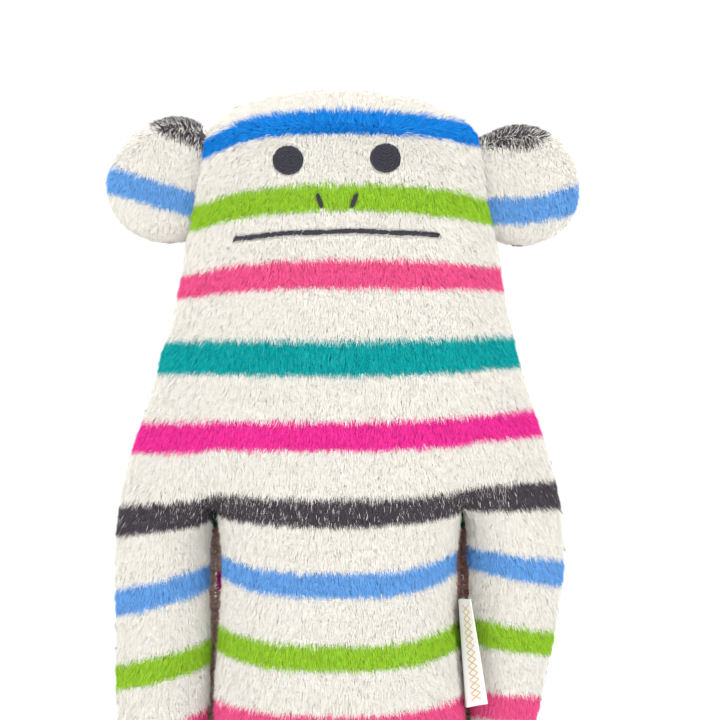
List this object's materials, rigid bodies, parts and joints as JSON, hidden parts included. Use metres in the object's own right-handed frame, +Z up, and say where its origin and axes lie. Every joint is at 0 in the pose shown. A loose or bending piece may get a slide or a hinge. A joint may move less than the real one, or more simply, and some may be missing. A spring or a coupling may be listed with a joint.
{
  "type": "striped plush monkey doll",
  "caption": "Soft stuffed monkey doll of striped pile fabric: head and body in one cushion, round side ears, hanging arms, short legs, embroidered face.",
  "frame": {"origin": "on the floor, midway between the two soles", "axes": "+Z up through the head, the face looks along -Y, +X towards the doll's own left"},
  "size_m": [0.2656, 0.138, 0.555],
  "materials": {
    "striped_plush": "short shaggy pile",
    "striped_plush_back": "short shaggy pile",
    "fibre_filling": "loose fibre",
    "embroidery_thread": "satin stitch",
    "sewing_thread": "matt thread",
    "woven_ribbon": "satin ribbon"
  },
  "bodies": {
    "body": {"body_front_panel": "striped_plush", "body_back_panel": "striped_plush_back", "body_filling": "fibre_filling", "left_eye": "embroidery_thread", "right_eye": "embroidery_thread", "left_nostril": "embroidery_thread", "right_nostril": "embroidery_thread", "mouth": "embroidery_thread", "closing_stitches": "sewing_thread"},
    "left_arm": {"left_arm_front_panel": "striped_plush", "left_arm_back_panel": "striped_plush_back", "left_arm_filling": "fibre_filling", "side_label_tail": "woven_ribbon"},
    "right_arm": {"right_arm_front_panel": "striped_plush", "right_arm_back_panel": "striped_plush_back", "right_arm_filling": "fibre_filling"},
    "left_leg": {"left_leg_front_panel": "striped_plush", "left_leg_back_panel": "striped_plush_back", "left_leg_filling": "fibre_filling"},
    "right_leg": {"right_leg_front_panel": "striped_plush", "right_leg_back_panel": "striped_plush_back", "right_leg_filling": "fibre_filling"},
    "left_ear": {"left_ear_front_panel": "striped_plush", "left_ear_back_panel": "striped_plush_back", "left_ear_filling": "fibre_filling"},
    "right_ear": {"right_ear_front_panel": "striped_plush", "right_ear_back_panel": "striped_plush_back", "right_ear_filling": "fibre_filling"},
    "label": {"side_label": "woven_ribbon"}
  },
  "joints": [
    {"name": "left_shoulder", "type": "hinge", "parent": "body", "child": "left_arm", "pos_m": [0.1005, 0, 0.303], "axis": [-1, 0, 0], "range_deg": [-45, 80], "stiffness_Nm_per_rad": 0.03},
    {"name": "left_hip", "type": "hinge", "parent": "body", "child": "left_leg", "pos_m": [0.036, 0, 0.124], "axis": [-1, 0, 0], "range_deg": [-30, 90], "stiffness_Nm_per_rad": 0.6},
    {"name": "left_ear_fold", "type": "hinge", "parent": "body", "child": "left_ear", "pos_m": [0.0878, 0, 0.503], "axis": [-0.1045, 0, 0.9945], "range_deg": [-45, 45], "stiffness_Nm_per_rad": 0.01},
    {"name": "right_shoulder", "type": "hinge", "parent": "body", "child": "right_arm", "pos_m": [-0.1005, 0, 0.303], "axis": [-1, 0, 0], "range_deg": [-45, 80], "stiffness_Nm_per_rad": 0.03},
    {"name": "right_hip", "type": "hinge", "parent": "body", "child": "right_leg", "pos_m": [-0.036, 0, 0.124], "axis": [-1, 0, 0], "range_deg": [-30, 90], "stiffness_Nm_per_rad": 0.6},
    {"name": "right_ear_fold", "type": "hinge", "parent": "body", "child": "right_ear", "pos_m": [-0.0878, 0, 0.503], "axis": [0.1045, 0, 0.9945], "range_deg": [-45, 45], "stiffness_Nm_per_rad": 0.01},
    {"name": "label_flap", "type": "hinge", "parent": "left_arm", "child": "label", "pos_m": [0.0716, -0.0225, 0.2295], "axis": [0, 0, -1], "range_deg": [-26, 14], "stiffness_Nm_per_rad": 0.002}
  ]
}
